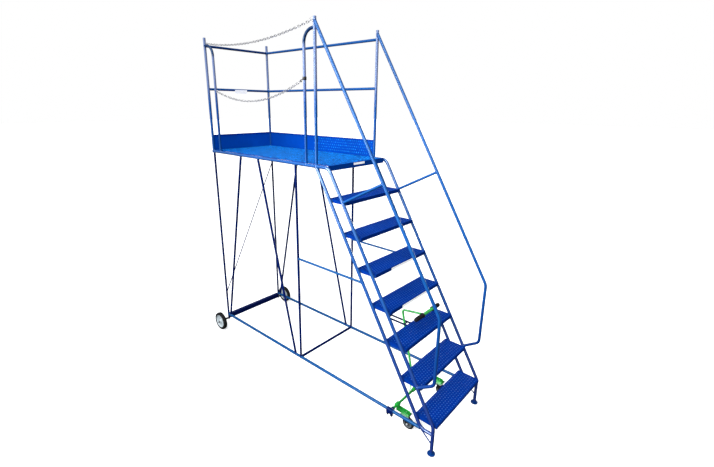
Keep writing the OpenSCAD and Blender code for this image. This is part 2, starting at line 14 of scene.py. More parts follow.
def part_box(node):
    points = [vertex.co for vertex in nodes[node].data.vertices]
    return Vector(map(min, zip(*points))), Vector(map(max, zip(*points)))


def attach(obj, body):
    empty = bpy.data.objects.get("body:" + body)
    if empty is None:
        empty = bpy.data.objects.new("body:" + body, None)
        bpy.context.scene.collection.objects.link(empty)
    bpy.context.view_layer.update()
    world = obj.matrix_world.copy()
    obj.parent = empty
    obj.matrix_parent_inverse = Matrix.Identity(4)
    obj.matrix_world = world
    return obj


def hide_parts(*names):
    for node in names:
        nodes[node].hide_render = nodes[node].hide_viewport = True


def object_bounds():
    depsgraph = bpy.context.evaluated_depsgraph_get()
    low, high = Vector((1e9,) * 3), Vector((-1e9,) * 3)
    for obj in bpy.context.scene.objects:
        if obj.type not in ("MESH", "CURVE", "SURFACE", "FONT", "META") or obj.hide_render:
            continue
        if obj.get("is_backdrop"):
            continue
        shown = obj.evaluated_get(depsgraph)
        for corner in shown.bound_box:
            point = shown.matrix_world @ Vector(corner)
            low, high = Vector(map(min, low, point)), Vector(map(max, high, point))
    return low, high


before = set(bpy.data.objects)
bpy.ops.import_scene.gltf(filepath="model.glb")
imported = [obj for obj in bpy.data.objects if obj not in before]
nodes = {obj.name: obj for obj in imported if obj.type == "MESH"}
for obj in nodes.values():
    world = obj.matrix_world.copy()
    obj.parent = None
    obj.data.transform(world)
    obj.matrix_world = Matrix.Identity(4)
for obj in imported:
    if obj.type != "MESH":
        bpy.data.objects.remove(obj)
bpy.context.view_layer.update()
chance = random.Random(11)

# ---- places on the stand ----


def middle(node):
    """Centre of a CAD node's box."""
    low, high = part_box(node)
    return (low + high) / 2


# outer radii of the tubes
tube_r, post_r, rail_r, leg_r = 0.0135, 0.0125, 0.0115, 0.011
hand_r, brace_r, tie_r, rod_r = 0.012, 0.0105, 0.0095, 0.009

side_x = -middle("side_frame_left").x
leg_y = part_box("side_frame_left")[0].y + tube_r
rear_y = middle("post_rear_left").y
post_y = middle("post_front_left").y
post_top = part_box("post_front_left")[1].z
deck_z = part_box("deck_plate")[1].z
beam_z = deck_z - tube_r
rail_z = middle("top_rail_right").z
mid_z = middle("mid_rail_right").z
rise, going, deck_length = 0.254, 0.150, 1.648
slope = going / rise
top_y = rear_y - deck_length
axle = middle("axle_stubs").yz
wheel_x = middle("wheel_tyre_right").x
mid_y = middle("base_bar").y
shaft = middle("cross_shaft").yz
rod_x = -0.020
handle = middle("lever_grips").yz
castor_x = middle("castor_wheel_right").x
castor_wheel = middle("castor_wheel_right").yz
swivel_y = middle("castor_plates").y
hoop_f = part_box("hoop_front")[1].y - rail_r
hoop_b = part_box("hoop_rear")[0].y + rail_r
# level distance from the side tube to the rear stringer
back_off = 0.139
# where the bottom rail starts, and the heights of its two ends
rail_y0, rail_front, rail_back = leg_y + 0.098, 0.180, 0.148


def line_y(z):
    """Where the side tube's centre line is at a height."""
    return top_y + (z - deck_z) * slope


def base_z(y):
    """Height of the bottom rail's centre line."""
    return rail_front + (rail_back - rail_front) * (y - rail_y0) / (axle[0] - rail_y0)


# ---- shapes ----


class Shape:
    """Points and faces of one piece, laid down as rows of rings."""

    def __init__(self):
        self.points, self.faces = [], []

    def grid(self, rows, round_rows=False):
        """Faces between rings of equal length; every ring is closed.

        The last ring meets the first one if round_rows, and otherwise both ends are capped.
        """
        first, n = len(self.points), len(rows[0])
        for row in rows:
            self.points.extend(row)
        count = len(rows)
        for i in range(count if round_rows else count - 1):
            a, b = first + i * n, first + (i + 1) % count * n
            for j in range(n):
                k = (j + 1) % n
                self.faces.append((a + j, a + k, b + k, b + j))
        if not round_rows:
            self.faces.append(tuple(first + j for j in reversed(range(n))))
            self.faces.append(tuple(first + (count - 1) * n + j for j in range(n)))

    def sweep(self, path, radius, sides=10, closed=False):
        """A round bar along a path. radius is a number or one for each point."""
        count = len(path)
        path = [Vector(p) for p in path]
        radii = radius if isinstance(radius, list) else [radius] * count
        ways = []
        for i in range(count):
            if closed:
                ways.append((path[(i + 1) % count] - path[i - 1]).normalized())
            else:
                ways.append((path[min(i + 1, count - 1)] - path[max(i - 1, 0)]).normalized())
        side = ways[0].orthogonal().normalized()
        rows = []
        for i in range(count):
            side = (side - ways[i] * side.dot(ways[i])).normalized()
            up = ways[i].cross(side)
            rows.append([path[i] + (side * math.cos(q) + up * math.sin(q)) * radii[i]
                         for q in (2 * math.pi * j / sides for j in range(sides))])
        self.grid(rows, closed)

    def turned(self, outline, centre, axis, steps=48, closed=False, cut=None):
        """An outline of (radius, height) points turned about an axis.

        cut(step, radius, height) may move a point.
        """
        axis, centre = Vector(axis).normalized(), Vector(centre)
        u = axis.orthogonal().normalized()
        w = axis.cross(u)
        rows = []
        for r, h in outline:
            row = []
            for j in range(steps):
                q = 2 * math.pi * j / steps
                rr, hh = cut(j, r, h) if cut else (r, h)
                row.append(centre + axis * hh + (u * math.cos(q) + w * math.sin(q)) * rr)
            rows.append(row)
        self.grid(rows, closed)

    def hexagon(self, centre, axis, across, height):
        """A chamfered hexagonal head or nut."""
        r, chamfer = across / math.sqrt(3), 0.0008
        self.turned([(r - chamfer, 0), (r, chamfer), (r, height - chamfer), (r - chamfer * 1.6, height)],
                    centre, axis, steps=6)

    def stud(self, base, normal, r, h):
        """A pressed round stud on a sheet."""
        sunk = -0.0004
        self.turned([(r, sunk), (r * 0.88, h * 0.45), (r * 0.6, h * 0.85), (r * 0.22, h)],
                    base, normal, steps=10)

    def plate(self, outline, thickness, place):
        """A flat outline in the plane's own X and Y, made thick along its Z."""
        rows = [[place @ Vector((x, y, z)) for x, y in outline] for z in (0, thickness)]
        self.grid(rows)


def rounded(w, h, r, steps=5):
    """A rectangle with round corners about the origin."""
    over, up = w / 2 - r, h / 2 - r
    corners = ((over, up), (-over, up), (-over, -up), (over, -up))
    return [(cx + r * math.cos(q), cy + r * math.sin(q))
            for quarter, (cx, cy) in enumerate(corners)
            for q in ((quarter + k / steps) * math.pi / 2 for k in range(steps + 1))]


def piece(name, shape, body, finish, instead=(), smooth=40):
    """Makes an object of a shape, lets it ride on a body and gives it its finish."""
    mesh = bpy.data.meshes.new(name)
    mesh.from_pydata([tuple(p) for p in shape.points], [], shape.faces)
    mesh.validate()
    mesh.update()
    made = bpy.data.objects.new(name, mesh)
    bpy.context.scene.collection.objects.link(made)
    mesh.materials.append(finish)
    mesh.shade_smooth()
    mesh.set_sharp_from_angle(angle=math.radians(smooth))
    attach(made, body)
    if instead:
        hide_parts(*instead)


# ---- finishes ----


class Wire:
    """One output of a node. Sums, differences and products of wires add Math nodes."""

    def __init__(self, finish, socket):
        self.finish, self.socket = finish, socket

    def _math(self, operation, *values):
        return self.finish.node("Math", {"operation": operation}, dict(enumerate(values)))

    def __add__(self, other):
        return self._math("ADD", self, other)

    def __mul__(self, other):
        return self._math("MULTIPLY", self, other)

    def __sub__(self, other):
        return self._math("SUBTRACT", self, other)

    def __rsub__(self, other):
        return self._math("SUBTRACT", other, self)

    __radd__, __rmul__ = __add__, __mul__


class Finish:
    """A material with one Principled shader, built node by node."""

    def __init__(self, name):
        self.material = bpy.data.materials.new(name)
        self.material.use_nodes = True
        self.tree = self.material.node_tree
        self.tree.nodes.clear()
        self.place = self.node("TexCoord", {}, {}, "Object")

    def node(self, kind, settings, sockets, out=0):
        """Adds a node: its settings first, then the values or wires of its sockets."""
        made = self.tree.nodes.new("ShaderNode" + kind)
        for key, value in settings.items():
            setattr(made, key, value)
        for key, value in sockets.items():
            if isinstance(value, Wire):
                self.tree.links.new(value.socket, made.inputs[key])
            else:
                made.inputs[key].default_value = value
        return Wire(self, made.outputs[out])

    def stretched(self, scale):
        return self.node("Mapping", {}, {"Vector": self.place, "Scale": scale})

    def noise(self, scale, detail=3.0, rough=0.55, place=None):
        return self.node("TexNoise", {}, {"Vector": place or self.place, "Scale": scale,
                                          "Detail": detail, "Roughness": rough})

    def cells(self, scale, out="Distance"):
        return self.node("TexVoronoi", {}, {"Vector": self.place, "Scale": scale}, out)

    def between(self, value, low, high):
        """0 below low, 1 above high, smooth in between."""
        return self.node("MapRange", {"interpolation_type": "SMOOTHSTEP"},
                         {"Value": value, "From Min": low, "From Max": high})

    def mix(self, share, a, b):
        return self.node("Mix", {"data_type": "RGBA"}, {0: share, 6: a, 7: b}, 2)

    def facing_up(self):
        normal = self.node("NewGeometry", {}, {}, "Normal")
        return self.node("SeparateXYZ", {}, {"Vector": normal}, "Z")

    def height(self):
        """Height above the floor, in metres."""
        place = self.node("NewGeometry", {}, {}, "Position")
        return self.node("SeparateXYZ", {}, {"Vector": place}, "Z")

    def bump(self, height, distance):
        return self.node("Bump", {}, {"Height": height, "Distance": distance, "Strength": 1.0}, "Normal")

    def shade(self, **sockets):
        names = {key.replace("_", " "): value for key, value in sockets.items()}
        shader = self.node("BsdfPrincipled", {}, names)
        out = self.tree.nodes.new("ShaderNodeOutputMaterial")
        self.tree.links.new(shader.socket, out.inputs["Surface"])
        return self.material


def rgb(r, g, b):
    """A colour with its alpha."""
    return (r, g, b, 1.0)


def shade_of(colour, share):
    """A colour made darker, or lighter up to white."""
    return rgb(*(min(c * share, 1.0) for c in colour))


# heights between which a paint passes from one tone to the next: painted shade towards the floor, a painted
# sheen at the top, and painted shade on the bends above that
low_shade_band, top_sheen_band, arc_shade_band = (0.15, 1.5), (2.46, 2.74), (2.90, 2.95)
dust_grey = rgb(0.36, 0.40, 0.46)


def powder_coat(name, colour, rough=0.34, peel=0.00022, dust=0.01, scuffs=0.04, coat=0.8, shine=0.5,
                tint=(0.25, 0.55, 1.0), glint_mottle=0.0, top_sheen=None, shaded_arcs=False, low_shade=None):
    """Stoved powder paint: orange peel, slow changes of tone, hairline scuffs and a little dust on top.

    The tone near the floor is a painted shade, the lighter tone at the top a painted sheen, and the darkened
    bends above that painted shade; the mottle paints highlights and shade in patches, for studs.
    """
    f = Finish(name)
    tone = f.between(f.noise(2.3, 2.0), 0.3, 0.7)
    cloud = f.between(f.noise(19.0, 4.0), 0.35, 0.7)
    skin = f.noise(520.0, 2.0, 0.5)
    grit = f.cells(900.0)
    hair = f.between(f.noise(34.0, 6.0, 0.7, f.stretched((1.0, 7.0, 1.6))), 0.66, 0.74)
    above = f.between(f.facing_up(), 0.35, 0.95)
    settled = above * f.between(f.noise(60.0, 5.0, 0.65), 0.35, 0.8) * dust
    base = f.mix(tone, shade_of(colour, 0.88), shade_of(colour, 1.10))
    base = f.mix(cloud * 0.25, base, shade_of(colour, 0.72))
    # patches of much lighter and darker tone on the studs: painted highlights and painted shade
    if glint_mottle:
        stud_glint_cells = f.node("SeparateColor", {}, {"Color": f.cells(44.0, "Color")}, "Red")
        specks = f.between(f.noise(24.0, 3.0), 0.42, 0.58)
        patch = f.between(stud_glint_cells, 0.30, 0.62) * 0.45 + specks * 0.35 + cloud * 0.20
        base = f.mix(patch * glint_mottle, shade_of(colour, 1.75), shade_of(colour, 0.28))
    # darker towards the floor: painted shade
    if low_shade:
        base = f.mix(f.between(f.height(), *low_shade_band), rgb(*low_shade), base)
    # lighter towards the top: a painted sheen
    if top_sheen:
        base = f.mix(f.between(f.height(), *top_sheen_band) * 0.95, base, rgb(*top_sheen))
    # the bends at the top of the hoops darkened: painted shade
    if shaded_arcs:
        base = f.mix(f.between(f.height(), *arc_shade_band), base, shade_of(colour, 0.35))
    base = f.mix(hair * scuffs, base, shade_of(tuple(c + 0.10 for c in colour), 1.5))
    base = f.mix(settled, base, dust_grey)
    gloss = rough - 0.06 + f.noise(11.0, 4.0) * 0.12 + hair * 0.15 + settled * 0.8
    return f.shade(Base_Color=base, Roughness=gloss, Normal=f.bump(skin * 0.8 + grit * 0.2, peel),
                   Coat_Weight=coat, Coat_Roughness=0.14, Specular_IOR_Level=shine, Specular_Tint=rgb(*tint))


def rubber(name, colour, rough=0.72, dust=0.12):
    """Black rubber: a fine open grain, slow patches and pale dirt."""
    f = Finish(name)
    patch = f.between(f.noise(24.0, 4.0), 0.3, 0.75)
    pores = f.cells(1400.0)
    dirt = f.between(f.noise(85.0, 6.0, 0.7), 0.52, 0.8) * dust
    base = f.mix(patch, shade_of(colour, 0.75), shade_of(colour, 1.35))
    base = f.mix(dirt, base, rgb(0.20, 0.19, 0.18))
    return f.shade(Base_Color=base, Roughness=rough - 0.08 + patch * 0.14 + dirt * 0.3,
                   Specular_IOR_Level=0.22, Normal=f.bump(pores * 0.5 + f.noise(700.0, 2.0) * 0.5, 0.00025))


def bright_zinc(name, colour, rough=0.28):
    """Zinc plate: small spangles, brush lines and dull spots."""
    f = Finish(name)
    spangle = f.node("TexVoronoi", {}, {"Vector": f.place, "Scale": 260.0}, "Color")
    tint = f.node("SeparateColor", {}, {"Color": spangle}, "Red")
    dull = f.between(f.noise(75.0, 5.0, 0.6), 0.45, 0.75)
    base = f.mix(tint * 0.5, shade_of(colour, 1.08), shade_of(colour, 0.86))
    base = f.mix(dull * 0.45, base, shade_of(colour, 0.62))
    lines = f.noise(300.0, 3.0, 0.6, f.stretched((1.0, 0.15, 3.0)))
    return f.shade(Base_Color=base, Metallic=1.0 - dull * 0.2, Roughness=rough + dull * 0.22 + tint * 0.08,
                   Normal=f.bump(lines, 0.00008))


def vinyl(name, colour):
    """A blank printed-film label: faint mottling, grubby marks, slight waves, and a glow that is painted
    light.
    """
    f = Finish(name)
    patch = f.between(f.noise(30.0, 4.0), 0.3, 0.8)
    mark = f.between(f.noise(160.0, 6.0, 0.75), 0.62, 0.8)
    base = f.mix(patch, shade_of(colour, 0.93), shade_of(colour, 1.03))
    base = f.mix(mark * 0.25, base, rgb(0.42, 0.43, 0.45))
    # the label glows in its own colour: painted light
    return f.shade(Base_Color=base, Roughness=0.36 + patch * 0.14, Normal=f.bump(f.noise(90.0, 2.0), 0.0002),
                   Emission_Color=base, Emission_Strength=0.42)


def moulded(name, colour, rough=0.45):
    """Moulded nylon: faint flow lines and a fine spark texture."""
    f = Finish(name)
    flow = f.between(f.noise(14.0, 5.0, 0.6, f.stretched((3.0, 1.0, 1.0))), 0.3, 0.75)
    spark = f.cells(1700.0)
    wear = f.between(f.noise(110.0, 6.0, 0.7), 0.58, 0.78)
    base = f.mix(flow, shade_of(colour, 0.82), shade_of(colour, 1.18))
    base = f.mix(wear * 0.2, base, shade_of(colour, 2.4))
    return f.shade(Base_Color=base, Roughness=rough - 0.05 + flow * 0.1 + wear * 0.12,
                   Normal=f.bump(spark * 0.6 + flow * 0.4, 0.00012))


# tubes
# a lighter tone at the top of the posts and hoops: a painted sheen
post_top_sheen = (0.185, 0.230, 0.42)
# the frame and handrails darken towards the floor: painted shade
frame_paint = powder_coat("frame_paint", (0.0008, 0.068, 0.290), rough=0.25, peel=0.00010, coat=1.0,
                          shine=1.0, tint=(0.45, 0.72, 1.0), low_shade=(0.0005, 0.016, 0.155))
hand_paint = powder_coat("hand_paint", (0.0008, 0.068, 0.275), rough=0.36, peel=0.00010, coat=0.30, shine=0.7,
                         low_shade=(0.0005, 0.018, 0.155))
post_paint = powder_coat("post_paint", (0.0008, 0.060, 0.275), rough=0.36, peel=0.00012, coat=0.30, shine=0.7,
                         tint=(0.35, 0.70, 1.0), top_sheen=post_top_sheen)
hoop_paint = powder_coat("hoop_paint", (0.0008, 0.052, 0.255), rough=0.36, peel=0.00012, coat=0.20, shine=0.5,
                         tint=(0.35, 0.70, 1.0), top_sheen=post_top_sheen, shaded_arcs=True)
# darker copies of the tube paint for the low rails, the rear top rail, the feet and the legs under the deck:
# painted shade
low_rail_shade_paint = powder_coat("low_rail_shade_paint", (0.0007, 0.055, 0.19), rough=0.40, coat=0.1, shine=0.4)
rail_shade_paint = powder_coat("rail_shade_paint", (0.0007, 0.030, 0.16), rough=0.40, coat=0.1, shine=0.4)
leg_shade_paint = powder_coat("leg_shade_paint", (0.0005, 0.006, 0.075), dust=0.003, coat=0.0, shine=0.15)
guide_paint = powder_coat("guide_paint", (0.002, 0.005, 0.035), coat=0.1, shine=0.3)
# folded sheet and its studs. The deck's tone differs from the treads' as painted light, and the deck sheet is
# darker between its studs as painted shade.
deck_paint = powder_coat("deck_paint", (0.0005, 0.048, 0.31), rough=0.34, dust=0.002, scuffs=0.05,
                         coat=0.0, shine=0.08)
# the rear toe board is painted lighter than the right one: painted light
rear_toe_lit_paint = powder_coat("rear_toe_lit_paint", (0.0004, 0.085, 0.52), rough=0.36, dust=0.001, scuffs=0.03,
                             coat=0.0, shine=0.12)
toe_paint = powder_coat("toe_paint", (0.0004, 0.052, 0.36), rough=0.36, dust=0.001, scuffs=0.03,
                        coat=0.0, shine=0.12)
tread_paint = powder_coat("tread_paint", (0.0006, 0.026, 0.222), rough=0.45, dust=0.001, scuffs=0.04,
                          coat=0.0, shine=0.04)
# the studs are painted lighter than their sheets: painted highlights
deck_stud_highlight_paint = powder_coat("deck_stud_highlight_paint", (0.004, 0.180, 0.63), rough=0.30, dust=0.001,
                              coat=0.0, shine=0.25, glint_mottle=1.0)
tread_stud_highlight_paint = powder_coat("tread_stud_highlight_paint", (0.002, 0.055, 0.35), rough=0.30, dust=0.002,
                               coat=0.2, shine=0.5)
# lift, wheels and fittings
green_paint = powder_coat("green_paint", (0.014, 0.34, 0.040), rough=0.30, coat=0.3, tint=(0.5, 1.0, 0.5))
lever_paint = powder_coat("lever_paint", (0.050, 0.46, 0.085), rough=0.26, coat=0.5, shine=0.8,
                          tint=(0.6, 1.0, 0.6))
black_paint = powder_coat("black_paint", (0.005, 0.005, 0.006), rough=0.42, dust=0.01, coat=0.0, shine=0.3,
                          tint=(1.0, 1.0, 1.0))
rim_paint = powder_coat("rim_paint", (0.46, 0.52, 0.55), rough=0.34, dust=0.04, scuffs=0.10, coat=0.3,
                        tint=(1.0, 1.0, 1.0))
tyre_rubber = rubber("tyre_rubber", (0.007, 0.007, 0.0075), dust=0.06)
grip_skin = rubber("grip_skin", (0.005, 0.005, 0.0055), rough=0.6, dust=0.02)
castor_rubber = rubber("castor_rubber", (0.006, 0.006, 0.0065), rough=0.62, dust=0.06)
hub_nylon = moulded("hub_nylon", (0.095, 0.105, 0.115))
zinc = bright_zinc("zinc", (0.74, 0.76, 0.78))
chain_zinc = bright_zinc("chain_zinc", (0.56, 0.55, 0.56), rough=0.30)
glowing_label_film = vinyl("glowing_label_film", (0.90, 0.90, 0.91))
clip_nylon = moulded("clip_nylon", (0.010, 0.010, 0.011))

painted = {
    frame_paint: "side_frame_left side_frame_right rear_stringer_left rear_stringer_right deck_rear_beam",
    hand_paint: """handrail_left handrail_right handrail_brace_left handrail_brace_right mid_rail_rear
        top_rail_right mid_rail_right""",
    low_rail_shade_paint: "bottom_rail_left bottom_rail_right side_tie_left side_tie_right",
    leg_shade_paint: "shaft_brackets side_legs_left side_legs_right rear_brace base_bar axle_box",
    post_paint: "post_rear_left post_rear_right post_front_left post_front_right",
    hoop_paint: "hoop_front hoop_rear",
    rail_shade_paint: "top_rail_rear foot_left foot_right",
    deck_paint: "deck_plate",
    rear_toe_lit_paint: "toe_board_rear",
    toe_paint: "toe_board_right",
    tread_paint: "tread_1 tread_2 tread_3 tread_4 tread_5 tread_6 tread_7",
    guide_paint: "lever_guide",
    green_paint: "cross_shaft castor_arm_left castor_arm_right",
    lever_paint: "lift_lever",
    black_paint: "axle_stubs bracket_bolts castor_fork_left castor_fork_right",
    grip_skin: "lever_grips",
    zinc: "castor_plates guard_chains",
    castor_rubber: "castor_wheel_left castor_wheel_right",
    tyre_rubber: "wheel_tyre_left wheel_tyre_right",
    rim_paint: "wheel_rim_left wheel_rim_right",
}
for paint, names in painted.items():
    for name in names.split():
        for held in nodes[name].material_slots:
            held.material = paint

# folded and cut edges are not knife sharp
for name in """deck_plate toe_board_rear toe_board_right axle_box lever_guide castor_plates castor_arm_left
        castor_arm_right tread_1 tread_2 tread_3 tread_4 tread_5 tread_6 tread_7""".split():
    edge = nodes[name].modifiers.new("edge", "BEVEL")
    edge.width = 0.0007
    edge.segments = 2
    edge.limit_method = "ANGLE"
    edge.angle_limit = math.radians(50)
    edge.use_clamp_overlap = True

# ---- studs on the treads, the deck and the front of the toe board ----


def studded(shape, x0, x1, y0, y1, z, pitch, row, r=0.0054, h=0.0024):
    """Rows of studs, every other row moved by half a pitch."""
    columns, rows = int((x1 - x0) / pitch), int((y1 - y0) / row)
    for j in range(rows + 1):
        y = (y0 + y1) / 2 + (j - rows / 2) * row
        count = columns + 1 - j % 2
        for i in range(count):
            x = (x0 + x1) / 2 + (i - (count - 1) / 2) * pitch
            shape.stud((x, y, z), (0, 0, 1), r, h)


stud_pitch, stud_row, plain_edge = 0.026, 0.0225, 0.020
for i in range(1, 8):
    low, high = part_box(f"tread_{i}")
    top = Shape()
    studded(top, low.x + plain_edge, high.x - plain_edge, low.y + 0.016, high.y - 0.016, high.z,
            stud_pitch, stud_row)
    piece(f"tread_studs_{i}", top, "frame", tread_stud_highlight_paint)

low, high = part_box("deck_plate")
top = Shape()
studded(top, low.x + plain_edge, high.x - plain_edge, low.y + plain_edge, high.y - 0.022, high.z,
        stud_pitch, stud_row, r=0.0066, h=0.0026)
piece("deck_studs", top, "frame", deck_stud_highlight_paint)

low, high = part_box("toe_board_right")
inner = Shape()
for j in range(5):
    z = low.z + 0.022 + j * stud_pitch
    for i in range(30 - j % 2):
        y = low.y + plain_edge + (i + 0.5 * (j % 2)) * stud_pitch
        inner.stud((side_x - 0.001, y, z), (-1, 0, 0), 0.0052, 0.0016)
piece("toe_board_studs", inner, "frame", deck_stud_highlight_paint)

# ---- welds ----


bead = 0.0021


def weld(shape, at, way, r, on, along, big):
    """A rippled bead where a tube of radius r, going off along way, stands on a tube of radius big."""
    at, way, on, along = Vector(at), Vector(way).normalized(), Vector(on), Vector(along).normalized()
    u = way.orthogonal().normalized()
    w = way.cross(u)
    steps, path, radii, start = 60, [], [], chance.random() * 6
    for k in range(steps):
        q = 2 * math.pi * k / steps
        p = at + (u * math.cos(q) + w * math.sin(q)) * (r + bead * 0.35)
        off = p - on
        off -= along * off.dot(along)
        run = way - along * way.dot(along)
        a, b, c = run.dot(run), 2 * off.dot(run), off.dot(off) - (big + bead * 0.2) ** 2
        root = max(b * b - 4 * a * c, 0.0)
        path.append(p + way * ((-b + math.sqrt(root)) / (2 * a)))
        radii.append(bead * (1 + 0.10 * math.sin(q * 26 + start) + 0.05 * math.sin(q * 3 + start)))
    shape.sweep(path, radii, sides=7, closed=True)


beads = Shape()
tie_z = 1.180
hand_foot_z, hand_level_z = 0.507, 0.598
brace_z, brace_climb = deck_z - rise - 0.008, 0.196
X, Y, Z = Vector((1, 0, 0)), Vector((0, 1, 0)), Vector((0, 0, 1))
down_stair = Vector((0, -slope, -1)).normalized()
hand_top = Vector((0, post_y, post_top - 0.026))
hand_knee = Vector((0, leg_y + 0.023, 1.127))
hand_way = (hand_knee - hand_top).normalized()
for s in (-1, 1):
    x = s * side_x
    beam = (x, 0, beam_z)
    for y in (rear_y, post_y):
        weld(beads, (x, y, beam_z), Z, post_r, beam, Y, tube_r)
    weld(beads, (x, post_y, hand_top.z), hand_way, hand_r, (x, post_y, 0), Z, post_r)
    end = Vector((x, line_y(hand_foot_z), hand_foot_z))
    weld(beads, end, Vector((0, hand_knee.y - end.y, hand_level_z - end.z)), hand_r, end, down_stair, tube_r)
    low_end = Vector((x, line_y(brace_z), brace_z))
    reach = (hand_top.z - low_end.z - brace_climb) / (hand_top.z - hand_knee.z)
    far = Vector((x, 0, 0)) + hand_top + (hand_knee - hand_top) * reach
    weld(beads, low_end, far - low_end, brace_r, low_end, down_stair, tube_r)
    weld(beads, far, low_end - far, brace_r, far, hand_way, hand_r)
    weld(beads, (x, line_y(beam_z) + back_off, beam_z), down_stair, tube_r, beam, Y, tube_r)
    weld(beads, (x, leg_y, rail_front), Y, tube_r, (x, leg_y, 0), Z, tube_r)
    weld(beads, (x, rear_y - 0.009, beam_z), (0, axle[0] - rear_y + 0.009, -1.94), leg_r, beam, Y, tube_r)
    base_way = Vector((0, axle[0] - rail_y0, rail_back - rail_front)).normalized()
    # the strut, the long diagonal and the middle leg
    for y_top, y_low in ((top_y + 1.165, axle[0] - 0.044), (top_y + 0.899, top_y + 0.452), (mid_y, mid_y)):
        foot = Vector((x, y_low, base_z(y_low)))
        way = Vector((x, y_top, beam_z)) - foot
        weld(beads, (x, y_top, beam_z), -way, leg_r, beam, Y, tube_r)
        weld(beads, foot, way, leg_r, foot, base_way, tube_r)
    weld(beads, (x, mid_y, tie_z), -Y, tie_r, (x, mid_y, 0), Z, leg_r)
    tie_end = Vector((x, line_y(tie_z) + back_off, tie_z))
    weld(beads, tie_end, Y, tie_r, tie_end, down_stair, tube_r)
    weld(beads, (x, mid_y, base_z(mid_y)), -s * X, post_r, (x, mid_y, base_z(mid_y)), base_way, tube_r)
    weld(beads, (x, rear_y, beam_z), -s * X, tube_r, beam, Y, tube_r)
    for z in (rail_z, mid_z):
        weld(beads, (x, rear_y, z), -s * X, rail_r, (x, rear_y, 0), Z, post_r)
        if s > 0:
            weld(beads, (x, rear_y, z), -Y, rail_r, (x, rear_y, 0), Z, post_r)
            weld(beads, (x, post_y, z), Y, rail_r, (x, post_y, 0), Z, post_r)
for y, y_post, way in ((hoop_f, post_y, Y), (hoop_b, rear_y, -Y)):
    weld(beads, (-side_x, y, beam_z), Z, rail_r, (-side_x, 0, beam_z), Y, tube_r)
    weld(beads, (-side_x, y_post, rail_z), way, rail_r, (-side_x, y_post, 0), Z, post_r)
# short runs that hold each tread's end plate to the two tubes beside it
run_length = 0.022
for i in range(1, 8):
    low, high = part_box(f"tread_{i}")
    for s in (-1, 1):
        for tube in (0, back_off):
            z = high.z - 0.014
            centre = Vector((s * (side_x - tube_r - 0.0002) + s * 0.0016, line_y(z) + tube, z))
            for side in (-1, 1):
                y = centre.y + side * tube_r
                if low.y + 0.004 < y < high.y - 0.004:
                    spot = Vector((centre.x, y, z))
                    run = [spot + down_stair * run_length * (k / 12 - 0.5) for k in range(13)]
                    swell = [0.0019 * (1 + 0.12 * math.sin(k * 1.9 + i)) for k in range(13)]
                    swell[0] *= 0.6
                    swell[12] *= 0.6
                    beads.sweep(run, swell, sides=7)
piece("frame_welds", beads, "frame", frame_paint)

# ---- guard chains ----


def hung(a, b, sag):
    """Points of a line that hangs between two ends."""
    a, b, count = Vector(a), Vector(b), 400
    return [a.lerp(b, t) - Z * (4 * sag * t * (1 - t)) for t in (k / count for k in range(count + 1))]


def spaced(points, pitch):
    """Points and directions at equal steps along a line."""
    found, want, done = [], pitch / 2, 0.0
    for p, q in zip(points, points[1:]):
        step = (q - p).length
        while done + step >= want:
            found.append((p.lerp(q, (want - done) / step), (q - p).normalized()))
            want += pitch
        done += step
    return found


def link(shape, centre, way, flat, pitch, wire, half):
    """One oval link. way is the chain's direction, and flat is the direction of its width."""
    straight, path = (pitch + wire) / 2 - half, []
    for side in (1, -1):
        for k in range(9):
            q = -math.pi / 2 + math.pi * k / 8
            path.append(centre + way * side * (straight + half * math.cos(q))
                        + flat * side * half * math.sin(q))
    shape.sweep(path, wire / 2, sides=8, closed=True)


def chain(shape, points):
    """Links along a line, each turned a quarter from the last and swinging a little."""
    pitch, wire, half = 0.0235, 0.0041, 0.0070
    for n, (centre, way) in enumerate(spaced(points, pitch)):
        turn = (math.pi / 4 if n % 2 else -math.pi / 4) + chance.uniform(-0.28, 0.28)
        out = way.cross(X).normalized()
        link(shape, centre, way, X * math.cos(turn) + out * math.sin(turn), pitch, wire, half)


def ring(shape, centre, normal, r, wire):
    """A round ring of wire."""
    normal, steps = Vector(normal).normalized(), 28
    u = normal.orthogonal().normalized()
    w = normal.cross(u)
    shape.sweep([Vector(centre) + (u * math.cos(q) + w * math.sin(q)) * r
                 for q in (2 * math.pi * k / steps for k in range(steps))], wire / 2, sides=10, closed=True)


links = Shape()
upper = hung((-side_x, rear_y - 0.034, post_top - 0.054), (-side_x, post_y + 0.044, post_top - 0.024), 0.066)
lower = hung((-side_x, hoop_b - 0.030, mid_z - 0.026), (-side_x, hoop_f + 0.040, mid_z + 0.036), 0.116)
chain(links, upper)
chain(links, lower)
ring(links, (-side_x, post_y + 0.031, post_top - 0.020), (1, 0.1, 0.2), 0.0145, 0.0042)
ring(links, (-side_x, rear_y - 0.026, post_top - 0.052), (1, -0.2, 0.1), 0.0105, 0.004)
ring(links, (-side_x, hoop_b - 0.023, mid_z - 0.022), (1, 0.15, 0.1), 0.0105, 0.004)
piece("guard_chain_links", links, "frame", chain_zinc, ["guard_chains"])

eyes = Shape()
ring(eyes, (-side_x, post_y + 0.0155, post_top - 0.0195), (0.1, 0, 1), 0.0052, 0.0042)
ring(eyes, (-side_x, rear_y - 0.0155, post_top - 0.050), (0.1, 0, 1), 0.0052, 0.0042)
ring(eyes, (-side_x, hoop_b - 0.0145, mid_z - 0.020), (0.1, 0, 1), 0.0052, 0.0042)
piece("chain_eyes", eyes, "frame", frame_paint)

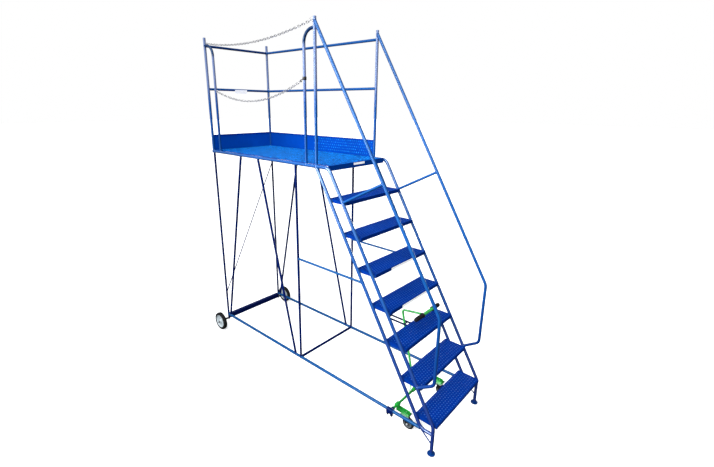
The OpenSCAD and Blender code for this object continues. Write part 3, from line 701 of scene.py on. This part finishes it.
clip = Shape()
at = Vector((-side_x, hoop_f, mid_z + 0.052))
clip.turned([(0.0119, -0.011), (0.0145, -0.0118), (0.0152, -0.010),
             (0.0152, 0.010), (0.0145, 0.0118), (0.0119, 0.011)], at, Z, steps=40, closed=True)
hook = [at + Vector((0, 0.0150 + 0.024 * t, -0.004 - 0.008 * t)) for t in (0, 0.3, 0.6, 0.85)]
hook += [at + Vector((0, 0.0400 + 0.0068 * math.sin(q), -0.0168 + 0.0068 * math.cos(q)))
         for q in (math.pi * k / 7 for k in range(1, 11))]
clip.sweep(hook, [0.0046] + [0.0036] * (len(hook) - 2) + [0.0024], sides=10)
clip.turned([(0.0062, -0.0025), (0.0070, -0.0015), (0.0070, 0.0015), (0.0062, 0.0025)],
            at + Vector((0, 0.0165, -0.004)), Y, steps=24)
piece("chain_clip", clip, "frame", clip_nylon)

# ---- rear wheels ----

tread = [(0.0885, -0.0200), (0.0930, -0.0196), (0.0962, -0.0180), (0.0982, -0.0160), (0.0992, -0.0135),
         (0.0997, -0.0100), (0.0975, -0.0096), (0.0975, -0.0070), (0.0999, -0.0066), (0.1000, -0.0016),
         (0.0976, -0.0012), (0.0976, 0.0012)]
tread += [(r, -h) for r, h in reversed(tread[:-2])]
wall_in = [(0.0733, -0.0150), (0.0745, -0.0172), (0.0765, -0.0182), (0.0780, -0.0192), (0.0795, -0.0194),
           (0.0805, -0.0187), (0.0830, -0.0187), (0.0842, -0.0197), (0.0860, -0.0200)]
tyre_outline = wall_in + tread + [(r, -h) for r, h in reversed(wall_in)]


def tread_cut(step, r, h):
    """Cross grooves over the shoulders, staggered from side to side."""
    grooved = (step + (0 if h < 0 else 4)) % 8 == 0 and abs(h) > 0.0105
    if grooved and r > 0.0945:
        return (r - 0.0026, h)
    if grooved and r > 0.0915:
        return (r - 0.0012, h * 0.97)
    return (r, h)


rim_side = [(0.0730, 0.0165), (0.0722, 0.0178), (0.0705, 0.0182), (0.0688, 0.0174), (0.0676, 0.0150),
            (0.0662, 0.0118), (0.0636, 0.0085), (0.0600, 0.0068), (0.0560, 0.0063), (0.0520, 0.0070),
            (0.0470, 0.0082), (0.0350, 0.0086), (0.0290, 0.0078), (0.0262, 0.0070), (0.0246, 0.0078),
            (0.0232, 0.0112), (0.0222, 0.0150), (0.0206, 0.0166), (0.0160, 0.0172), (0.0100, 0.0174),
            (0.00815, 0.0170)]
rim_outline = [(r, -h) for r, h in rim_side] + [(r, h) for r, h in reversed(rim_side)]
for s, side in ((-1, "left"), (1, "right")):
    centre = Vector((s * wheel_x, axle[0], axle[1]))
    body = f"rear_wheel_{side}"
    tyre = Shape()
    tyre.turned(tyre_outline, centre, X, steps=208, closed=True, cut=tread_cut)
    piece(f"rear_tyre_{side}", tyre, body, tyre_rubber, [f"wheel_tyre_{side}"], smooth=32)
    rim = Shape()
    rim.turned(rim_outline, centre, X, steps=96, closed=True)
    for k in range(5):
        q = 2 * math.pi * (k + 0.5) / 5
        spot = centre + Vector((0, math.sin(q), math.cos(q))) * 0.0335
        for face in (-1, 1):
            rim.turned([(0.0044, 0), (0.0042, 0.0014), (0.0030, 0.0024), (0.0012, 0.0028)],
                       spot + X * face * 0.0083, X * face, steps=16)
    piece(f"rear_rim_{side}", rim, body, rim_paint, [f"wheel_rim_{side}"])
    valve = Shape()
    spot = centre + Vector((0, 0.034, -0.029))
    valve.turned([(0.0088, 0), (0.0085, 0.0022), (0.0052, 0.0040), (0.0046, 0.0100), (0.0036, 0.0112),
                  (0.0034, 0.0150), (0.0026, 0.0156)], spot + X * s * 0.0076, X * s, steps=24)
    piece(f"tyre_valve_{side}", valve, body, grip_skin)

caps = Shape()
for s in (-1, 1):
    caps.turned([(0.0128, 0.0), (0.0128, 0.0041), (0.0118, 0.0057), (0.0085, 0.0063), (0.0030, 0.0064)],
                (s * (wheel_x + 0.0205), axle[0], axle[1]), (s, 0, 0), steps=40)
piece("axle_caps", caps, "frame", zinc)

spacers = Shape()
start = side_x + 0.0175
length = wheel_x - 0.0245 - start
for s in (-1, 1):
    spacers.turned([(0.0081, 0), (0.0106, 0), (0.0114, 0.0008),
                    (0.0114, length - 0.0008), (0.0106, length), (0.0081, length)],
                   (s * start, axle[0], axle[1]), (s, 0, 0), steps=36, closed=True)
piece("axle_spacers", spacers, "frame", black_paint)

# ---- castors ----

for s, side in ((-1, "left"), (1, "right")):
    centre = Vector((s * castor_x, castor_wheel[0], castor_wheel[1]))
    roll, swivel = f"castor_roll_{side}", f"castor_swivel_{side}"
    tyre = Shape()
    half = [(0.0360, 0.0122), (0.0375, 0.0128), (0.0440, 0.0128), (0.0475, 0.0116), (0.0493, 0.0088),
            (0.0499, 0.0045)]
    tyre.turned([(r, -h) for r, h in half] + [(0.0500, 0.0)] + [(r, h) for r, h in reversed(half)],
                centre, X, steps=80, closed=True)
    piece(f"castor_tyre_{side}", tyre, roll, castor_rubber, [f"castor_wheel_{side}"])
    half = [(0.0362, 0.0118), (0.0345, 0.0122), (0.0330, 0.0112), (0.0318, 0.0086), (0.0290, 0.0074),
            (0.0200, 0.0074), (0.0176, 0.0086), (0.0160, 0.0128), (0.0140, 0.0154), (0.0118, 0.0158),
            (0.0054, 0.0158)]
    hub = Shape()
    hub.turned([(r, -h) for r, h in half] + [(r, h) for r, h in reversed(half)],
               centre, X, steps=72, closed=True)
    for k in range(6):
        q = math.pi * k / 3
        for face in (-1, 1):
            out = Vector((0, math.sin(q), math.cos(q)))
            turned = Matrix(((0, 0, face, 0), (out.y, -out.z, 0, 0), (out.z, out.y, 0, 0), (0, 0, 0, 1)))
            place = Matrix.Translation(centre + X * face * 0.0070 + out * 0.0245) @ turned
            hub.plate(rounded(0.0150, 0.0026, 0.0008, 3), 0.0034, place)
    piece(f"castor_hub_{side}", hub, roll, hub_nylon)
    pin = Shape()
    for face in (-1, 1):
        start = centre + X * face * 0.0200
        pin.turned([(0.0092, 0), (0.0092, 0.0011), (0.0080, 0.0016)], start, X * face, steps=32)
        pin.hexagon(start + X * face * 0.0014, X * face, 0.0130, 0.0050)
    pin.turned([(0.0040, 0), (0.0040, 0.0020), (0.0034, 0.0026)], centre + X * -0.0262, -X, steps=20)
    piece(f"castor_pin_{side}", pin, swivel, zinc)
    race = Shape()
    top_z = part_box(f"castor_fork_{side}")[1].z
    race.turned([(0.0268, -0.0034), (0.0276, -0.0030), (0.0280, -0.0018), (0.0276, -0.0008),
                 (0.0262, -0.0004)], (s * castor_x, swivel_y, top_z), Z, steps=56)
    piece(f"castor_race_{side}", race, swivel, black_paint)

bolts = Shape()
arm_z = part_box("castor_arm_left")[0].z
plate_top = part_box("castor_plates")[1].z
bolt_off = 0.030
for s in (-1, 1):
    for dx in (-1, 1):
        for dy in (-1, 1):
            spot = Vector((s * castor_x + dx * bolt_off, swivel_y + dy * bolt_off, plate_top))
            bolts.turned([(0.0066, 0), (0.0066, 0.0010), (0.0058, 0.0014)], spot, Z, steps=24)
            bolts.hexagon(spot + Z * 0.0012, Z, 0.0100, 0.0044)
    spot = Vector((s * castor_x, swivel_y, arm_z + 0.004))
    bolts.turned([(0.0115, 0), (0.0115, 0.0016), (0.0105, 0.0022)], spot, Z, steps=32)
    bolts.hexagon(spot + Z * 0.0020, Z, 0.0170, 0.0085)
    bolts.turned([(0.0050, 0), (0.0050, 0.0060), (0.0042, 0.0070)], spot + Z * 0.0100, Z, steps=20)
piece("castor_plate_bolts", bolts, "lift", zinc)

# ---- lift lever ----

lift_beads = Shape()


def ring_weld(shape, centre, normal, r):
    """A rippled bead round a shaft."""
    normal = Vector(normal).normalized()
    u = normal.orthogonal().normalized()
    w = normal.cross(u)
    steps, start = 60, chance.random() * 6
    angles = [2 * math.pi * k / steps for k in range(steps)]
    path = [Vector(centre) + (u * math.cos(q) + w * math.sin(q)) * (r + bead * 0.3) for q in angles]
    shape.sweep(path, [bead * (1 + 0.10 * math.sin(q * 24 + start)) for q in angles], sides=7, closed=True)


shaft_r, arm_half, collar_half = 0.010, 0.0172, 0.0222
for s in (-1, 1):
    for face in (-1, 1):
        ring_weld(lift_beads, (s * castor_x + face * arm_half, shaft[0], shaft[1]), X, shaft_r)
    ring_weld(lift_beads, (rod_x + s * collar_half, shaft[0], shaft[1]), X, shaft_r)
lean, bend_at = math.radians(12.8), 0.722
rod_way = Vector((0, math.sin(lean), math.cos(lean)))
bend = Vector((rod_x, shaft[0], shaft[1])) + rod_way * bend_at
weld(lift_beads, (rod_x, handle[0], handle[1]), (0, bend.y - handle[0], bend.z - handle[1]), rod_r,
     (0, handle[0], handle[1]), X, 0.013)
weld(lift_beads, (rod_x, shaft[0], shaft[1]), rod_way, rod_r, (0, shaft[0], shaft[1]), X, 0.016)
piece("lift_welds", lift_beads, "lift", green_paint)


def grip(shape, x_in, x_out):
    """A ribbed rubber grip with a flange at its inner end and a round outer end."""
    r, step = 0.018, 0.0052
    s = 1 if x_out > x_in else -1
    length = abs(x_out - x_in)
    outline = [(0.01305, 0.0), (r + 0.0026, 0.0), (r + 0.0030, 0.0010), (r + 0.0030, 0.0036),
               (r + 0.0022, 0.0048), (r - 0.0010, 0.0056)]
    h = 0.0075
    while h + step < length - 0.012:
        outline += [(r - 0.0009, h), (r, h + step * 0.25),
                    (r, h + step * 0.62), (r - 0.0009, h + step * 0.87)]
        h += step
    for k in range(7):
        q = math.pi / 2 * k / 6
        outline.append((max((r - 0.001) * math.cos(q) ** 0.6, 0.0022), length - 0.011 + 0.011 * math.sin(q)))
    shape.turned(outline, (x_in, handle[0], handle[1]), (s, 0, 0), steps=48)


low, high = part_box("lever_grips")
sleeves = Shape()
left_length, right_length = 0.112, 0.107
grip(sleeves, low.x + left_length, low.x)
grip(sleeves, high.x - right_length, high.x)
piece("ribbed_grips", sleeves, "lift", grip_skin, ["lever_grips"])

# ---- clamps' nuts ----

nuts = Shape()
bolts_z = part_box("bracket_bolts")[1].z
for s in (-1, 1):
    for k in (-1, 1):
        spot = Vector((s * (side_x + 0.009), shaft[0] + k * 0.019, bolts_z))
        nuts.turned([(0.0128, 0), (0.0128, 0.0016), (0.0118, 0.0022)], spot, -Z, steps=32)
        nuts.hexagon(spot - Z * 0.0020, -Z, 0.0206, 0.0110)
        thread = [(0.0059 - (0.0007 if n % 2 else 0), 0.0128 + n * 0.0007) for n in range(15)]
        nuts.turned(thread + [(0.0046, 0.0238)], spot, -Z, steps=24)
piece("clamp_nuts", nuts, "frame", black_paint, ["bracket_bolts"])

# ---- blank labels ----


def label(name, centre, w, h, thickness=0.0005):
    """A blank plate that faces the climber's side."""
    film = Shape()
    place = Matrix.Translation(Vector(centre)) @ Matrix.Rotation(math.pi / 2, 4, "X")
    film.plate(rounded(w, h, min(0.003, h / 4)), thickness, place)
    piece(name, film, "frame", glowing_label_film)


for i, x0, x1 in ((3, -0.152, 0.150), (4, -0.199, 0.160)):
    low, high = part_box(f"tread_{i}")
    label(f"label_tread_{i}", ((x0 + x1) / 2, low.y + 0.0001, high.z - 0.0165), x1 - x0, 0.0215)
low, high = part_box("deck_plate")
label("label_deck", (0.017, low.y + 0.0001, deck_z - 0.012), 0.142, 0.018)
label("label_rail", (0.0015, rear_y - 0.0115, 2.616), 0.147, 0.036, 0.0012)

# ---- camera, floor and light ----

eye = bpy.data.cameras.new("eye")
camera = bpy.data.objects.new("eye", eye)
bpy.context.scene.collection.objects.link(camera)
turn, tilt, roll = (math.radians(a) for a in (-48.045, 17.119, 0.455))
back = Vector((math.sin(turn) * math.cos(tilt), -math.cos(turn) * math.cos(tilt), math.sin(tilt)))
right = Vector((math.cos(turn), math.sin(turn), 0))
up = back.cross(right)
right, up = right * math.cos(roll) + up * math.sin(roll), up * math.cos(roll) - right * math.sin(roll)
target, distance = Vector((0.18983, -0.00398, 1.35774)), 3.84925
place = Matrix((right, up, back)).transposed().to_4x4()
place.translation = target + back * distance
camera.matrix_world = place
eye.sensor_width = 36.0
eye.lens = 20.043
eye.shift_x, eye.shift_y = 0.0167, -0.0083
eye.clip_start, eye.clip_end = 0.05, 200.0
bpy.context.scene.camera = camera

far = 60
mesh = bpy.data.meshes.new("floor")
mesh.from_pydata([(-far, -far, 0), (far, -far, 0), (far, far, 0), (-far, far, 0)], [], [(0, 1, 2, 3)])
floor = bpy.data.objects.new("floor", mesh)
bpy.context.scene.collection.objects.link(floor)
f = Finish("floor_paint")
floor_tone = f.mix(f.noise(0.6, 3.0), rgb(0.93, 0.93, 0.935), rgb(0.96, 0.96, 0.96))
mesh.materials.append(f.shade(Base_Color=floor_tone, Roughness=0.9, Emission_Color=rgb(1.0, 1.0, 1.0),
                              Emission_Strength=0.5))
floor.visible_diffuse = False
floor.visible_glossy = False
floor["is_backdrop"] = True


def lamp(name, kind, at, towards, power, **settings):
    """A lamp that stands at one place and shines towards another."""
    data = bpy.data.lights.new(name, kind)
    data.energy = power
    for key, value in settings.items():
        setattr(data, key, value)
    made = bpy.data.objects.new(name, data)
    bpy.context.scene.collection.objects.link(made)
    made.location = at
    made.rotation_euler = (Vector(towards) - Vector(at)).to_track_quat("-Z", "Y").to_euler()


lamp("key", "SUN", (-2.7, -1.4, 4.2), (0, 0, 0), 3.3, angle=math.radians(55))
box = dict(shape="RECTANGLE", color=(0.95, 0.97, 1.0))
lamp("left_box", "AREA", (-4.0, 1.6, 4.0), (0, 0.4, 2.4), 14, size=2.2, size_y=1.4,
     spread=math.radians(80), **box)
lamp("stair_box", "AREA", (-3.4, 0.6, 2.6), (0, -1.1, 1.1), 62, size=2.0, size_y=2.6,
     spread=math.radians(80), **box)
lamp("right_box", "AREA", (4.6, 0.9, 0.35), (0, 0.5, 1.6), 55, size=2.4, size_y=1.6,
     spread=math.radians(110), **box)

# the fill comes from above and from the left; the backdrop itself is white
world = bpy.data.worlds.new("studio")
bpy.context.scene.world = world
world.use_nodes = True
tree = world.node_tree
tree.nodes.clear()


def world_node(kind, **sockets):
    """Adds a node to the world, with the values or links of its sockets."""
    made = tree.nodes.new("ShaderNode" + kind)
    for key, value in sockets.items():
        socket = made.inputs[key.replace("_", " ")]
        if isinstance(value, bpy.types.NodeSocket):
            tree.links.new(value, socket)
        else:
            socket.default_value = value
    return made


seen_way = world_node("TexCoord").outputs["Generated"]
leant = world_node("Mapping", Vector=seen_way, Rotation=(0, math.radians(38), 0)).outputs[0]
way = world_node("SeparateXYZ", Vector=leant).outputs["Z"]
share = world_node("MapRange", Value=way, From_Min=-0.35, From_Max=0.55, To_Min=0.08, To_Max=0.48).outputs[0]
fill = world_node("Background", Color=(0.90, 0.95, 1.0, 1.0), Strength=share)
seen = world_node("Background", Color=(1.0, 1.0, 1.0, 1.0), Strength=1.0)
either = world_node("MixShader", Fac=world_node("LightPath").outputs["Is Camera Ray"])
tree.links.new(fill.outputs[0], either.inputs[1])
tree.links.new(seen.outputs[0], either.inputs[2])
tree.links.new(either.outputs[0], world_node("OutputWorld").inputs["Surface"])
bpy.context.scene.view_settings.view_transform = "Standard"

low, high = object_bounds()
